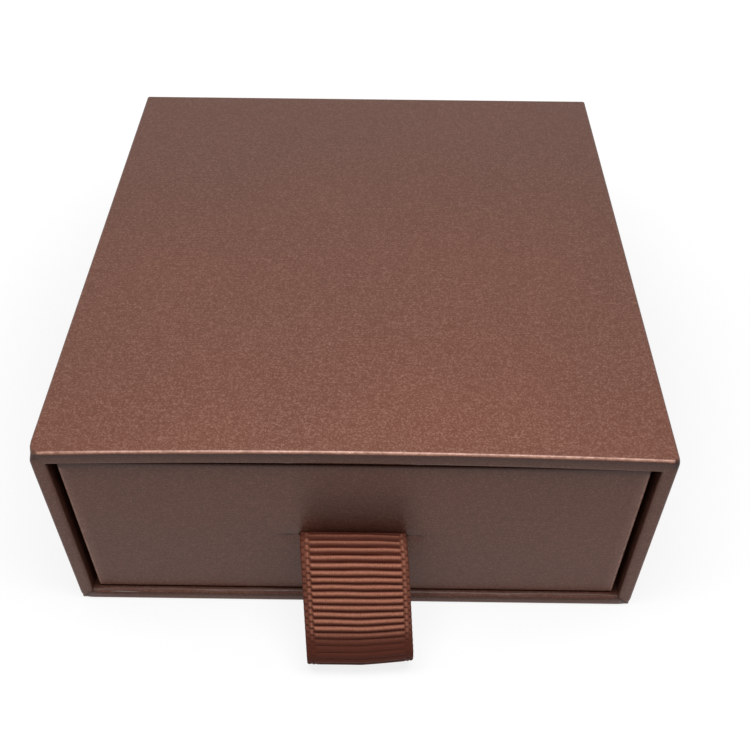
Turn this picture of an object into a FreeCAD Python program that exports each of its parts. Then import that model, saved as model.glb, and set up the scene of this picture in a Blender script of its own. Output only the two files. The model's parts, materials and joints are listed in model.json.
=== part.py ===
import FreeCAD, Part
import math
import os
import Sketcher
from FreeCAD import Vector

# Sliding drawer gift box: a paper-covered board sleeve, closed at the back, and a shallow drawer
# that slides out of its mouth on a looped grosgrain ribbon.
# Millimetres, +Z up. The origin is the middle of the sleeve's underside and the mouth faces -Y.

os.makedirs("parts", exist_ok=True)
doc = FreeCAD.newDocument("drawer_gift_box")

# Driving sizes, each with what it measures
SIZES = [
    ("sleeve_width", 90, "sleeve over its paper, left to right"),
    ("sleeve_depth", 95, "sleeve over its paper, mouth to back"),
    ("sleeve_height", 38, "sleeve over its paper, underside to top"),
    ("sleeve_board", 1.8, "grey board of the sleeve"),
    ("paper", 0.18, "covering paper with its glue"),
    ("sleeve_round", 0.17, "rounding of the paper over the sleeve's edges, under its thickness"),
    ("mouth_turn", 12, "covering paper turned into the mouth"),
    ("back_turn", 9, "covering paper turned over the back"),
    ("back_inset", 1.5, "back panel's step in from the sleeve's edges"),
    ("sleeve_tape_leg", 9, "leg of the tape along a sleeve edge"),
    ("tape", 0.1, "corner tape, pressed into the board"),
    ("side_gap", 0.95, "play between drawer and sleeve, each side"),
    ("floor_gap", 0.25, "play between drawer and sleeve floor"),
    ("front_recess", 1.0, "drawer front behind the mouth when home"),
    ("back_gap", 0.5, "play behind the drawer when home"),
    ("roof_gap", 1.85, "play between the drawer's rim and the sleeve's roof"),
    ("drawer_board", 1.5, "grey board of the drawer"),
    ("drawer_round", 0.3, "rounding of the paper over the drawer's edges"),
    ("rim_turn", 10, "covering paper turned into the drawer over its rim"),
    ("drawer_tape_leg", 8, "leg of the tape at a drawer corner"),
    ("ribbon_width", 16.4, "grosgrain ribbon, selvage to selvage"),
    ("ribbon_thick", 0.45, "one layer of ribbon"),
    ("ribbon_layer_gap", 0.15, "air between the two layers in the slit"),
    ("slit_rise", 14.9, "middle of the slit above the drawer's underside"),
    ("slit_play", 0.1, "slit above and below the ribbon"),
    ("slit_margin", 1.1, "slit past the ribbon, each side"),
    ("tail_length", 9, "ribbon tail glued flat inside the drawer front"),
    ("patch_margin", 3, "paper patch past the ribbon tails"),
    ("patch_play", 0.05, "patch round the edge of the tails"),
    ("hinge_out", 0.85, "bending line of the loop before the drawer front"),
    ("loop_reach", 10.4, "middle of the loop's fold before its bending line"),
    ("loop_drop", 14.5, "middle of the loop's fold under the slit"),
    ("loop_bend", 6, "bend of the upper layer as it leaves the slit"),
    ("under_bend", 3, "bend of the lower layer as it leaves the slit"),
    ("fold_radius", 2.3, "fold at the loop's end, at mid thickness"),
]

sheet = doc.addObject("Spreadsheet::Sheet", "Sizes")
for row, (alias, value, note) in enumerate(SIZES, start=1):
    sheet.set(f"A{row}", alias)
    sheet.set(f"B{row}", str(value))
    sheet.set(f"C{row}", note)
    sheet.setAlias(f"B{row}", alias)
doc.recompute()


def cell(alias):
    return f"Sizes.{alias}"


def number(expression):
    """The value in millimetres that an expression of the sheet's names has now."""
    return float(sheet.evalExpression(expression))


# Sleeve, in its own frame: half widths, heights and depths of the layers
PAPER = cell("paper")
SLEEVE_BOARD = cell("sleeve_board")
HEIGHT = cell("sleeve_height")
HALF_WIDTH = f"({cell('sleeve_width')} / 2)"
HALF_DEPTH = f"({cell('sleeve_depth')} / 2)"
SIDE_OUTER = f"({HALF_WIDTH} - {PAPER})"
SIDE_INNER = f"({SIDE_OUTER} - {SLEEVE_BOARD})"
MOUTH_HALF = f"({SIDE_INNER} - {PAPER})"
FLOOR_BOARD_TOP = f"({PAPER} + {SLEEVE_BOARD})"
FLOOR_TOP = f"({FLOOR_BOARD_TOP} + {PAPER})"
ROOF_OUTER = f"({HEIGHT} - {PAPER})"
ROOF_BOARD_UNDER = f"({ROOF_OUTER} - {SLEEVE_BOARD})"
ROOF_UNDER = f"({ROOF_BOARD_UNDER} - {PAPER})"
BOARD_FRONT = f"(-{HALF_DEPTH} + {PAPER})"
BOARD_BACK = f"({HALF_DEPTH} - 2 * {PAPER})"
BACK_BOARD_FRONT = f"({BOARD_BACK} - {SLEEVE_BOARD})"
TURN_END = f"(-{HALF_DEPTH} + {cell('mouth_turn')})"

# Drawer, in a frame at the foot of the middle of its front face
DRAWER_BOARD = cell("drawer_board")
DRAWER_HALF = f"({MOUTH_HALF} - {cell('side_gap')})"
DRAWER_FRONT = f"(-{HALF_DEPTH} + {cell('front_recess')})"
DRAWER_FOOT = f"({FLOOR_TOP} + {cell('floor_gap')})"
DRAWER_HEIGHT = f"({ROOF_UNDER} - {cell('roof_gap')} - {DRAWER_FOOT})"
DRAWER_LENGTH = f"({BACK_BOARD_FRONT} - {PAPER} - {cell('back_gap')} - {DRAWER_FRONT})"
WALL_SKIN = PAPER
WALL_BOARD = f"({PAPER} + {DRAWER_BOARD})"
WALL_ALL = f"({PAPER} + {DRAWER_BOARD} + {PAPER})"
RIM_UNDER = f"({DRAWER_HEIGHT} - {PAPER})"
RIM_TURN_END = f"({DRAWER_HEIGHT} - {cell('rim_turn')})"

# Ribbon and slit
RIBBON_HALF = f"({cell('ribbon_width')} / 2)"
RIBBON_THICK = cell("ribbon_thick")
SLIT_RISE = cell("slit_rise")
LAYER_NEAR = f"({cell('ribbon_layer_gap')} / 2)"
LAYER_FAR = f"({LAYER_NEAR} + {RIBBON_THICK})"
SLIT_HALF = f"({LAYER_FAR} + {cell('slit_play')})"
TAIL_END = f"({LAYER_NEAR} + {cell('tail_length')})"


def new_body(label, frame=(0, 0, 0)):
    """A body of its own for one piece, placed at a point that is given in expressions."""
    body = doc.addObject("PartDesign::Body", label)
    body.Label = label
    for axis, place in zip("xyz", frame):
        if place != 0:
            body.setExpression(f"Placement.Base.{axis}", place)
    return body


def new_sketch(body, role, offset=None):
    """A sketch on one of the body's origin planes, moved along the plane's normal."""
    plane = next(item for item in body.Origin.OriginFeatures if item.Role == role)
    sketch = body.newObject("Sketcher::SketchObject", f"{body.Name}_outline")
    sketch.AttachmentSupport = [(plane, "")]
    sketch.MapMode = "FlatFace"
    if offset is not None:
        sketch.setExpression("AttachmentOffset.Base.z", offset)
    return sketch


def bind(sketch, kind, target, expression):
    """A dimension of the sketch that follows an expression."""
    index = sketch.addConstraint(Sketcher.Constraint(kind, *target, number(expression)))
    sketch.setExpression(f"Constraints[{index}]", expression)


def add_outline(sketch, corners):
    """A closed outline of straight edges through corners given as pairs of expressions."""
    points = [Vector(number(across), number(up), 0) for across, up in corners]
    first = sketch.GeometryCount
    count = len(points)
    for index, point in enumerate(points):
        sketch.addGeometry(Part.LineSegment(point, points[(index + 1) % count]), False)
    for index, (across, up) in enumerate(corners):
        line = first + index
        before = first + (index - 1) % count
        sketch.addConstraint(Sketcher.Constraint("Coincident", before, 2, line, 1))
        bind(sketch, "DistanceX", (-1, 1, line, 1), across)
        bind(sketch, "DistanceY", (-1, 1, line, 1), up)


def rectangle(left, right, low, high):
    return [(left, low), (right, low), (right, high), (left, high)]


def add_pad(body, sketch, length, forward=True):
    """Material from the sketch along its normal, or against it."""
    pad = body.newObject("PartDesign::Pad", f"{body.Name}_pad")
    pad.Profile = sketch
    pad.setExpression("Length", length)
    pad.Reversed = not forward
    sketch.Visibility = False
    doc.recompute()
    return pad


def cut_pocket(body, sketch, depth, forward=True):
    """A cut from the sketch against its normal, or along it, that has to take material away."""
    before = body.Shape.Volume
    pocket = body.newObject("PartDesign::Pocket", f"{body.Name}_pocket")
    pocket.Profile = sketch
    pocket.setExpression("Length", depth)
    pocket.Reversed = not forward
    sketch.Visibility = False
    doc.recompute()
    if body.Shape.Volume >= before:
        raise RuntimeError(f"the pocket of {body.Label} cuts nothing")
    return pocket


def round_edges(body, radius, chosen):
    """Fillets the edges of the body's last feature whose end points the test accepts."""
    base = body.Tip
    names = []
    for index, edge in enumerate(base.Shape.Edges, start=1):
        ends = [vertex.Point for vertex in edge.Vertexes]
        if len(ends) == 2 and chosen(*ends):
            names.append(f"Edge{index}")
    fillet = body.newObject("PartDesign::Fillet", f"{body.Name}_fillet")
    fillet.Base = (base, names)
    fillet.setExpression("Radius", radius)
    doc.recompute()
    return fillet


def near(first, second):
    return abs(first - second) < number(PAPER) / 10


def slab_along_depth(body, corners, front, back):
    """Pads a front-view outline from one depth to another, both measured along +Y."""
    sketch = new_sketch(body, "XZ_Plane", f"-({front})")
    for outline in corners:
        add_outline(sketch, outline)
    return add_pad(body, sketch, f"({back}) - ({front})", forward=False)


def slab_upwards(body, corners, low, high):
    """Pads a plan outline from one height to another."""
    sketch = new_sketch(body, "XY_Plane", low)
    for outline in corners:
        add_outline(sketch, outline)
    return add_pad(body, sketch, f"({high}) - ({low})")


# Sleeve boards: floor and roof run the full width, the sides stand between them, and each outer
# corner is pressed in by the thickness of the tape that holds it.
def make_sleeve_boards():
    leg = cell("sleeve_tape_leg")
    tape = cell("tape")
    end = f"({SIDE_OUTER} - {tape})"
    leg_start = f"({SIDE_OUTER} - {leg})"

    def flat_board(label, outer, pressed, inner):
        corners = [
            (f"-{leg_start}", outer), (leg_start, outer), (leg_start, pressed), (end, pressed),
            (end, inner), (f"-{end}", inner), (f"-{end}", pressed), (f"-{leg_start}", pressed),
        ]
        slab_along_depth(new_body(label), [corners], BOARD_FRONT, BOARD_BACK)

    flat_board("sleeve_bottom_board", PAPER, f"({PAPER} + {tape})", FLOOR_BOARD_TOP)
    flat_board("sleeve_top_board", ROOF_OUTER, f"({ROOF_OUTER} - {tape})", ROOF_BOARD_UNDER)

    low_leg = f"({PAPER} + {leg})"
    high_leg = f"({ROOF_OUTER} - {leg})"
    for label, sign in (("sleeve_left_board", "-"), ("sleeve_right_board", "")):
        outer = f"{sign}{SIDE_OUTER}"
        pressed = f"{sign}{end}"
        inner = f"{sign}{SIDE_INNER}"
        corners = [
            (inner, FLOOR_BOARD_TOP), (pressed, FLOOR_BOARD_TOP), (pressed, low_leg), (outer, low_leg),
            (outer, high_leg), (pressed, high_leg), (pressed, ROOF_BOARD_UNDER), (inner, ROOF_BOARD_UNDER),
        ]
        slab_along_depth(new_body(label), [corners], BOARD_FRONT, BOARD_BACK)

    back = rectangle(f"-{SIDE_INNER}", SIDE_INNER, FLOOR_BOARD_TOP, ROOF_BOARD_UNDER)
    slab_along_depth(new_body("sleeve_back_board"), [back], BACK_BOARD_FRONT, BOARD_BACK)


# Sleeve tapes: a strip of kraft tape folded over each of the four long corners
def make_sleeve_tapes():
    leg = cell("sleeve_tape_leg")
    tape = cell("tape")
    heights = {"bottom": (PAPER, "+"), "top": (ROOF_OUTER, "-")}
    for level, (edge, inward) in heights.items():
        for side, sign in (("left", "-"), ("right", "")):
            outer = f"{sign}{SIDE_OUTER}"
            skin = f"{sign}({SIDE_OUTER} - {tape})"
            tip = f"{sign}({SIDE_OUTER} - {leg})"
            inner_face = f"({edge} {inward} {tape})"
            leg_end = f"({edge} {inward} {leg})"
            corners = [
                (outer, edge), (tip, edge), (tip, inner_face),
                (skin, inner_face), (skin, leg_end), (outer, leg_end),
            ]
            body = new_body(f"sleeve_{level}_{side}_tape")
            slab_along_depth(body, [corners], BOARD_FRONT, BOARD_BACK)


# Sleeve wrap: one sheet over top and sides, turned into the mouth and over the back edge. Its
# turned ends are cut at 45 degrees at the two lower corners, where the base sheet meets them.
def make_sleeve_wrap():
    body = new_body("sleeve_wrap")
    cover = [
        (f"-{HALF_WIDTH}", "0"), (f"-{HALF_WIDTH}", HEIGHT), (HALF_WIDTH, HEIGHT), (HALF_WIDTH, "0"),
        (SIDE_OUTER, "0"), (SIDE_OUTER, ROOF_OUTER),
        (f"-{SIDE_OUTER}", ROOF_OUTER), (f"-{SIDE_OUTER}", "0"),
    ]
    slab_along_depth(body, [cover], BOARD_FRONT, BOARD_BACK)

    mouth_edge = [
        (f"-{HALF_WIDTH}", "0"), (f"-{HALF_WIDTH}", HEIGHT), (HALF_WIDTH, HEIGHT), (HALF_WIDTH, "0"),
        (MOUTH_HALF, FLOOR_TOP), (MOUTH_HALF, ROOF_UNDER),
        (f"-{MOUTH_HALF}", ROOF_UNDER), (f"-{MOUTH_HALF}", FLOOR_TOP),
    ]
    slab_along_depth(body, [mouth_edge], f"-{HALF_DEPTH}", BOARD_FRONT)

    turned_in = [
        (f"-{SIDE_INNER}", FLOOR_BOARD_TOP), (f"-{SIDE_INNER}", ROOF_BOARD_UNDER),
        (SIDE_INNER, ROOF_BOARD_UNDER), (SIDE_INNER, FLOOR_BOARD_TOP), (MOUTH_HALF, FLOOR_BOARD_TOP),
        (MOUTH_HALF, ROOF_UNDER), (f"-{MOUTH_HALF}", ROOF_UNDER), (f"-{MOUTH_HALF}", FLOOR_BOARD_TOP),
    ]
    slab_along_depth(body, [turned_in], BOARD_FRONT, TURN_END)

    turn = cell("back_turn")
    inner_half = f"({HALF_WIDTH} - {turn})"
    over_back = [
        (f"-{HALF_WIDTH}", "0"), (f"-{HALF_WIDTH}", HEIGHT), (HALF_WIDTH, HEIGHT), (HALF_WIDTH, "0"),
        (inner_half, turn), (inner_half, f"({HEIGHT} - {turn})"),
        (f"-{inner_half}", f"({HEIGHT} - {turn})"), (f"-{inner_half}", turn),
    ]
    slab_along_depth(body, [over_back], BOARD_BACK, f"({HALF_DEPTH} - {PAPER})")

    half = number(HALF_WIDTH)
    top = number(HEIGHT)
    mouth = -number(HALF_DEPTH)

    def long_top_edge(one, two):
        return all(near(abs(p.x), half) and near(p.z, top) for p in (one, two)) and one.x * two.x > 0

    def mouth_rim_edge(one, two):
        outer_top = all(near(p.z, top) for p in (one, two))
        outer_side = all(near(abs(p.x), half) for p in (one, two)) and one.x * two.x > 0
        return all(near(p.y, mouth) for p in (one, two)) and (outer_top or outer_side)

    def rounded_edge(one, two):
        return long_top_edge(one, two) or mouth_rim_edge(one, two)

    round_edges(body, cell("sleeve_round"), rounded_edge)


# Base sheet: covers the underside, is turned up over the lower edge of the mouth and lies on the
# sleeve's floor inside it; its turned ends are mitred to the wrap.
def make_sleeve_base_paper():
    body = new_body("sleeve_base_paper")
    under = rectangle(f"-{SIDE_OUTER}", SIDE_OUTER, "0", PAPER)
    slab_along_depth(body, [under], BOARD_FRONT, BOARD_BACK)
    mouth_edge = [
        (f"-{HALF_WIDTH}", "0"), (HALF_WIDTH, "0"), (MOUTH_HALF, FLOOR_TOP), (f"-{MOUTH_HALF}", FLOOR_TOP),
    ]
    slab_along_depth(body, [mouth_edge], f"-{HALF_DEPTH}", BOARD_FRONT)
    turned_in = rectangle(f"-{MOUTH_HALF}", MOUTH_HALF, FLOOR_BOARD_TOP, FLOOR_TOP)
    slab_along_depth(body, [turned_in], BOARD_FRONT, TURN_END)
    turn = cell("back_turn")
    inner_half = f"({HALF_WIDTH} - {turn})"
    over_back = [(f"-{HALF_WIDTH}", "0"), (HALF_WIDTH, "0"), (inner_half, turn), (f"-{inner_half}", turn)]
    slab_along_depth(body, [over_back], BOARD_BACK, f"({HALF_DEPTH} - {PAPER})")

    mouth = -number(HALF_DEPTH)
    top = number(FLOOR_TOP)

    def mouth_floor_edge(one, two):
        return all(near(p.y, mouth) and near(p.z, top) for p in (one, two))

    round_edges(body, cell("sleeve_round"), mouth_floor_edge)


# Back panel: a sheet laid over the turned edges, pressed down to the board between them
def make_sleeve_back_paper():
    body = new_body("sleeve_back_paper")
    inset = cell("back_inset")
    half = f"({HALF_WIDTH} - {inset})"
    sheet_outline = rectangle(f"-{half}", half, inset, f"({HEIGHT} - {inset})")
    slab_along_depth(body, [sheet_outline], f"({HALF_DEPTH} - {PAPER})", HALF_DEPTH)
    turn = cell("back_turn")
    inner_half = f"({HALF_WIDTH} - {turn})"
    pressed = rectangle(f"-{inner_half}", inner_half, turn, f"({HEIGHT} - {turn})")
    slab_along_depth(body, [pressed], BOARD_BACK, f"({HALF_DEPTH} - {PAPER})")


# Sleeve lining: floor, walls and roof behind the turned-in mouth, and the inside of the back
def make_sleeve_lining():
    body = new_body("sleeve_lining")
    outer = rectangle(f"-{SIDE_INNER}", SIDE_INNER, FLOOR_BOARD_TOP, ROOF_BOARD_UNDER)
    inner = rectangle(f"-{MOUTH_HALF}", MOUTH_HALF, FLOOR_TOP, ROOF_UNDER)
    slab_along_depth(body, [outer, inner], TURN_END, BACK_BOARD_FRONT)
    slab_along_depth(body, [outer], f"({BACK_BOARD_FRONT} - {PAPER})", BACK_BOARD_FRONT)


DRAWER_FRAME = (0, DRAWER_FRONT, DRAWER_FOOT)


def drawer_plan(inset):
    """The drawer's plan, moved in from its outer faces by an expression."""
    half = f"({DRAWER_HALF} - {inset})"
    return rectangle(f"-{half}", half, inset, f"({DRAWER_LENGTH} - {inset})")


# The slit for the ribbon runs a little past it on both sides.
def cut_slit(body, front, back):
    half = f"({RIBBON_HALF} + {cell('slit_margin')})"
    sketch = new_sketch(body, "XZ_Plane", f"-({front})")
    low = f"({SLIT_RISE} - {SLIT_HALF})"
    high = f"({SLIT_RISE} + {SLIT_HALF})"
    add_outline(sketch, rectangle(f"-{half}", half, low, high))
    cut_pocket(body, sketch, f"({back}) - ({front})")


# Drawer boards: four walls stand on the base board, the front and back between the sides
def make_drawer_boards():
    base = new_body("drawer_base_board", DRAWER_FRAME)
    slab_upwards(base, [drawer_plan(WALL_SKIN)], PAPER, WALL_BOARD)

    leg = cell("drawer_tape_leg")
    tape = cell("tape")
    outer_half = f"({DRAWER_HALF} - {WALL_SKIN})"
    inner_half = f"({DRAWER_HALF} - {WALL_BOARD})"
    leg_half = f"({outer_half} - {leg})"

    def across(label, outer, pressed, inner):
        body = new_body(label, DRAWER_FRAME)
        corners = [
            (f"-{leg_half}", outer), (leg_half, outer), (leg_half, pressed), (inner_half, pressed),
            (inner_half, inner), (f"-{inner_half}", inner),
            (f"-{inner_half}", pressed), (f"-{leg_half}", pressed),
        ]
        slab_upwards(body, [corners], WALL_BOARD, RIM_UNDER)
        return body

    front = across("drawer_front_board", WALL_SKIN, f"({WALL_SKIN} + {tape})", WALL_BOARD)
    cut_slit(front, WALL_SKIN, WALL_BOARD)
    outer = f"({DRAWER_LENGTH} - {WALL_SKIN})"
    inner = f"({DRAWER_LENGTH} - {WALL_BOARD})"
    across("drawer_back_board", outer, f"({outer} - {tape})", inner)

    first = f"({WALL_SKIN} + {tape})"
    last = f"({DRAWER_LENGTH} - {WALL_SKIN} - {tape})"
    first_leg = f"({WALL_SKIN} + {leg})"
    last_leg = f"({DRAWER_LENGTH} - {WALL_SKIN} - {leg})"
    for label, sign in (("drawer_left_board", "-"), ("drawer_right_board", "")):
        outer = f"{sign}{outer_half}"
        pressed = f"{sign}({outer_half} - {tape})"
        inner = f"{sign}{inner_half}"
        corners = [
            (inner, first), (pressed, first), (pressed, first_leg), (outer, first_leg),
            (outer, last_leg), (pressed, last_leg), (pressed, last), (inner, last),
        ]
        slab_upwards(new_body(label, DRAWER_FRAME), [corners], WALL_BOARD, RIM_UNDER)


# Drawer tapes: a strip folded round each upright corner of the walls
def make_drawer_tapes():
    leg = cell("drawer_tape_leg")
    tape = cell("tape")
    outer_half = f"({DRAWER_HALF} - {WALL_SKIN})"
    ends = {"front": (WALL_SKIN, "+"), "back": (f"({DRAWER_LENGTH} - {WALL_SKIN})", "-")}
    for end, (edge, inward) in ends.items():
        for side, sign in (("left", "-"), ("right", "")):
            outer = f"{sign}{outer_half}"
            skin = f"{sign}({outer_half} - {tape})"
            tip = f"{sign}({outer_half} - {leg})"
            inner_face = f"({edge} {inward} {tape})"
            leg_end = f"({edge} {inward} {leg})"
            corners = [
                (outer, edge), (tip, edge), (tip, inner_face),
                (skin, inner_face), (skin, leg_end), (outer, leg_end),
            ]
            body = new_body(f"drawer_{end}_{side}_tape", DRAWER_FRAME)
            slab_upwards(body, [corners], WALL_BOARD, RIM_UNDER)


# Drawer wrap: one sheet under the base, up the four walls, over the rim and down inside it
def make_drawer_wrap():
    body = new_body("drawer_wrap", DRAWER_FRAME)
    nothing = "0"
    slab_upwards(body, [drawer_plan(nothing)], nothing, PAPER)
    slab_upwards(body, [drawer_plan(nothing), drawer_plan(WALL_SKIN)], PAPER, RIM_UNDER)
    slab_upwards(body, [drawer_plan(nothing), drawer_plan(WALL_ALL)], RIM_UNDER, DRAWER_HEIGHT)
    slab_upwards(body, [drawer_plan(WALL_BOARD), drawer_plan(WALL_ALL)], RIM_TURN_END, RIM_UNDER)
    cut_slit(body, nothing, WALL_SKIN)

    half = number(DRAWER_HALF)
    length = number(DRAWER_LENGTH)
    top = number(DRAWER_HEIGHT)

    def on_outside(point):
        return near(abs(point.x), half) and (near(point.y, 0) or near(point.y, length))

    def outer_edge(one, two):
        upright = on_outside(one) and on_outside(two) and near(one.x, two.x) and near(one.y, two.y)
        level = on_outside(one) and on_outside(two) and near(one.z, two.z)
        return upright or (level and (near(one.z, 0) or near(one.z, top)))

    round_edges(body, cell("drawer_round"), outer_edge)


# Drawer lining: a sheet on the floor, turned up the walls to the end of the rim's turn-in
def make_drawer_lining():
    body = new_body("drawer_lining", DRAWER_FRAME)
    slab_upwards(body, [drawer_plan(WALL_BOARD)], WALL_BOARD, WALL_ALL)
    slab_upwards(body, [drawer_plan(WALL_BOARD), drawer_plan(WALL_ALL)], WALL_ALL, RIM_TURN_END)
    cut_slit(body, WALL_BOARD, WALL_ALL)


# Ribbon tails: the two ends pass the slit one above the other and are glued flat inside the
# drawer front, the upper one upwards and the lower one downwards.
def make_ribbon_tails():
    inner_face = f"({WALL_ALL} + {RIBBON_THICK})"
    for label, sign in (("ribbon_upper_tail", "+"), ("ribbon_lower_tail", "-")):
        near_side = f"({SLIT_RISE} {sign} {LAYER_NEAR})"
        far_side = f"({SLIT_RISE} {sign} {LAYER_FAR})"
        end = f"({SLIT_RISE} {sign} {TAIL_END})"
        corners = [
            ("0", near_side), (inner_face, near_side), (inner_face, end),
            (WALL_ALL, end), (WALL_ALL, far_side), ("0", far_side),
        ]
        body = new_body(label, DRAWER_FRAME)
        sketch = new_sketch(body, "YZ_Plane", f"-{RIBBON_HALF}")
        add_outline(sketch, corners)
        add_pad(body, sketch, cell("ribbon_width"))


# Ribbon patch: a square of the covering paper glued over the tails, raised where they lie
def make_ribbon_patch():
    body = new_body("ribbon_patch", DRAWER_FRAME)
    margin = cell("patch_margin")
    play = cell("patch_play")

    def window(grow):
        half = f"({RIBBON_HALF} + {grow})"
        reach = f"({TAIL_END} + {grow})"
        return rectangle(f"-{half}", half, f"({SLIT_RISE} - {reach})", f"({SLIT_RISE} + {reach})")

    raised = f"({WALL_ALL} + {RIBBON_THICK} + {PAPER})"
    slab_along_depth(body, [window(margin)], WALL_ALL, f"({WALL_ALL} + {PAPER})")
    slab_along_depth(body, [window(f"{play} + {PAPER}")], WALL_ALL, raised)
    sketch = new_sketch(body, "XZ_Plane", f"-{WALL_ALL}")
    add_outline(sketch, window(play))
    cut_pocket(body, sketch, RIBBON_THICK)


def common_tangent(centre_one, turn_one, centre_two, turn_two):
    """The two touching points of the line from one circle to the next. A turn is the circle's
    radius, positive where the path turns right and negative where it turns left."""
    between = centre_two - centre_one
    bearing = math.atan2(between.y, between.x)
    spread = math.acos((turn_one - turn_two) / between.Length)
    left = Vector(math.cos(bearing + spread), math.sin(bearing + spread), 0)
    return centre_one + left * turn_one, centre_two + left * turn_two


def arc_between(centre, radius, start, end):
    """The arc that runs anticlockwise about a centre from one point to another."""
    first = math.atan2(start.y - centre.y, start.x - centre.x)
    last = math.atan2(end.y - centre.y, end.x - centre.x)
    if last < first:
        last += 2 * math.pi
    return Part.ArcOfCircle(Part.Circle(centre, Vector(0, 0, 1), radius), first, last)


# Ribbon loop: the upper layer leaves the slit level, bends down and falls to a soft fold near
# the table, and the lower layer comes back up under it. Swept along its side view.
def make_ribbon_loop():
    frame = (0, f"({DRAWER_FRONT} - {cell('hinge_out')})", f"({DRAWER_FOOT} + {SLIT_RISE})")
    body = new_body("ribbon_loop", frame)
    layer_middle = f"({LAYER_NEAR} + {RIBBON_THICK} / 2)"
    bend = cell("loop_bend")
    under = cell("under_bend")
    fold = cell("fold_radius")
    upper_start = Vector(0, number(layer_middle), 0)
    lower_end = Vector(0, -number(layer_middle), 0)
    upper_centre = upper_start - Vector(0, number(bend), 0)
    lower_centre = lower_end - Vector(0, number(under), 0)
    fold_centre = Vector(-number(cell("loop_reach")), -number(cell("loop_drop")), 0)
    upper_leave, fold_meet = common_tangent(upper_centre, -number(bend), fold_centre, -number(fold))
    fold_leave, lower_meet = common_tangent(fold_centre, -number(fold), lower_centre, number(under))

    path = new_sketch(body, "YZ_Plane")
    path.addGeometry(arc_between(upper_centre, number(bend), upper_start, upper_leave), False)
    path.addGeometry(Part.LineSegment(upper_leave, fold_meet), False)
    path.addGeometry(arc_between(fold_centre, number(fold), fold_meet, fold_leave), False)
    path.addGeometry(Part.LineSegment(fold_leave, lower_meet), False)
    path.addGeometry(arc_between(lower_centre, number(under), lower_end, lower_meet), False)
    for first, first_end, second, second_end in ((0, 2, 1, 1), (1, 2, 2, 1), (2, 2, 3, 1), (3, 2, 4, 2)):
        path.addConstraint(Sketcher.Constraint("Tangent", first, first_end, second, second_end))
    for arc, radius, height in ((0, bend, layer_middle), (4, under, f"-{layer_middle}")):
        path.addConstraint(Sketcher.Constraint("PointOnObject", arc, 3, -2))
        path.addConstraint(Sketcher.Constraint("PointOnObject", arc, 1, -2))
        bind(path, "DistanceY", (-1, 1, arc, 1), height)
        bind(path, "Radius", (arc,), radius)
    bind(path, "Radius", (2,), fold)
    bind(path, "DistanceX", (-1, 1, 2, 3), f"-{cell('loop_reach')}")
    bind(path, "DistanceY", (-1, 1, 2, 3), f"-{cell('loop_drop')}")

    section = new_sketch(body, "XZ_Plane")
    add_outline(section, rectangle(f"-{RIBBON_HALF}", RIBBON_HALF, LAYER_NEAR, LAYER_FAR))
    doc.recompute()
    sweep = body.newObject("PartDesign::AdditivePipe", "ribbon_loop_sweep")
    sweep.Profile = section
    sweep.Spine = path
    path.Visibility = False
    section.Visibility = False
    doc.recompute()
    length = sum(edge.Length for edge in path.Shape.Edges)
    swept = length * number(cell("ribbon_width")) * number(RIBBON_THICK)
    print(f"ribbon loop: {length:.2f} mm long, volume {sweep.Shape.Volume:.2f} of {swept:.2f} mm3")


make_sleeve_boards()
make_sleeve_tapes()
make_sleeve_wrap()
make_sleeve_base_paper()
make_sleeve_back_paper()
make_sleeve_lining()
make_drawer_boards()
make_drawer_tapes()
make_drawer_wrap()
make_drawer_lining()
make_ribbon_tails()
make_ribbon_patch()
make_ribbon_loop()

doc.recompute()
for item in doc.Objects:
    if "Invalid" in item.State or "Error" in item.State:
        raise RuntimeError(f"{item.Label} did not build: {item.State}")
pieces = [item for item in doc.Objects if item.TypeId == "PartDesign::Body"]
for piece in pieces:
    if piece.Shape.isNull() or not piece.Shape.isValid() or len(piece.Shape.Solids) != 1:
        raise RuntimeError(f"{piece.Label} is not one valid solid")
for piece in pieces:
    piece.Shape.exportStep(f"parts/{piece.Label}.step")
    box = piece.Shape.BoundBox
    print(f"{piece.Label}: {box.XLength:.2f} x {box.YLength:.2f} x {box.ZLength:.2f} mm")
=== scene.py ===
import json
import math

import bmesh
import bpy
import numpy as np
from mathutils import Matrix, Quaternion, Vector

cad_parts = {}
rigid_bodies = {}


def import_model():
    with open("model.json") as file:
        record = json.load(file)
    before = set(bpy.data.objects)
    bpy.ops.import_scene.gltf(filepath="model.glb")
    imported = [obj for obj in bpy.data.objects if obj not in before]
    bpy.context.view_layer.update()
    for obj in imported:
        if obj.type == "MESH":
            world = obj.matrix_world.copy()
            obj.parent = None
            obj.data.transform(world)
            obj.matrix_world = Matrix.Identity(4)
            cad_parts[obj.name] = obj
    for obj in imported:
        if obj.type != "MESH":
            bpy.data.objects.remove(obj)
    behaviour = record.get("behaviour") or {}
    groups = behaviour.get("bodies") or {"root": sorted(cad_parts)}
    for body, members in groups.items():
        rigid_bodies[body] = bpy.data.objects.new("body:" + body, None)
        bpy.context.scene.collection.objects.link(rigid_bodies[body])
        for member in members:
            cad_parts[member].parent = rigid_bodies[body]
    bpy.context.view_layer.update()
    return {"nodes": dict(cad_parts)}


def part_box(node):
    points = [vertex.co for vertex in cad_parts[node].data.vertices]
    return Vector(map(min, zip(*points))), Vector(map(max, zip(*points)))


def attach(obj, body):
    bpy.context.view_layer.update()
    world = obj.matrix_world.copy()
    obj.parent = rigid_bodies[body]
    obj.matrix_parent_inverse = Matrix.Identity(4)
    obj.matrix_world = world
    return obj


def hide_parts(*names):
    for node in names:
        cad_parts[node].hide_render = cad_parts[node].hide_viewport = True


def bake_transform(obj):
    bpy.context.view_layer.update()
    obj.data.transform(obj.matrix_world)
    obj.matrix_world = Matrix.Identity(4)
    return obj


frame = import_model()
nodes = frame["nodes"]
mm = 0.001

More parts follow.
